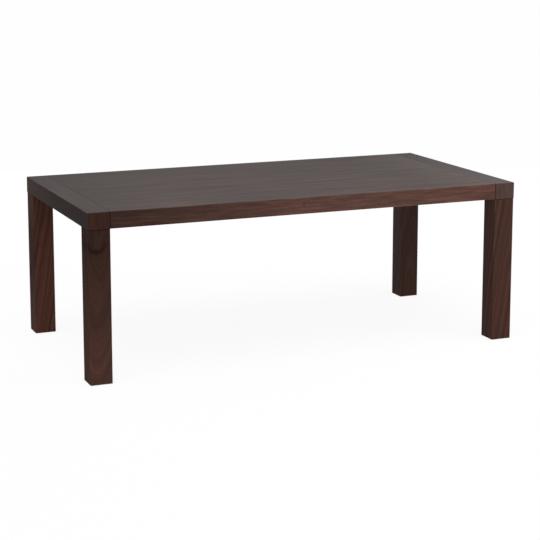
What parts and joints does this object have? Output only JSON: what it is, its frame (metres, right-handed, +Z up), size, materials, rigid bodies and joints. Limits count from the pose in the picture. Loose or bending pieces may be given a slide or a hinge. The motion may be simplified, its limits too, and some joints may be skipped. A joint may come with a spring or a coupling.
{
  "type": "dining table",
  "caption": "Rectangular dining table in dark stained wood with a deep mitre-folded edge, breadboard ends and square legs flush with the corners.",
  "frame": {"origin": "on the floor under the middle of the table", "axes": "+X along the table to its right end, +Y from the front edge to the back edge, +Z up"},
  "size_m": [2.1, 1.06, 0.765],
  "materials": {
    "field_wood": "satin lacquer, grain along the table",
    "cap_wood": "satin lacquer, grain across the table",
    "apron_wood": "satin lacquer, grain along the table",
    "leg_wood": "satin lacquer, slanting upright grain",
    "inner_wood": "bare planed hardwood",
    "plated_steel": "zinc plated",
    "nylon": "moulded, matt"
  },
  "bodies": {
    "root": {"field_panel": "field_wood", "left_cap_board": "cap_wood", "right_cap_board": "cap_wood", "left_end_apron": "cap_wood", "right_end_apron": "cap_wood", "front_left_return": "cap_wood", "front_right_return": "cap_wood", "rear_left_return": "cap_wood", "rear_right_return": "cap_wood", "front_apron": "apron_wood", "rear_apron": "apron_wood", "front_left_leg": "leg_wood", "front_right_leg": "leg_wood", "rear_left_leg": "leg_wood", "rear_right_leg": "leg_wood", "left_tongue": "inner_wood", "right_tongue": "inner_wood", "apron_tenons": "inner_wood", "left_cross_rail": "inner_wood", "centre_cross_rail": "inner_wood", "right_cross_rail": "inner_wood", "left_seam_batten": "inner_wood", "right_seam_batten": "inner_wood", "front_glue_blocks": "inner_wood", "rear_glue_blocks": "inner_wood", "left_glue_blocks": "inner_wood", "right_glue_blocks": "inner_wood", "front_left_bracket": "plated_steel", "front_right_bracket": "plated_steel", "rear_left_bracket": "plated_steel", "rear_right_bracket": "plated_steel", "hanger_bolts": "plated_steel", "bolt_washers": "plated_steel", "bolt_nuts": "plated_steel", "leg_glides": "nylon"}
  },
  "joints": []
}
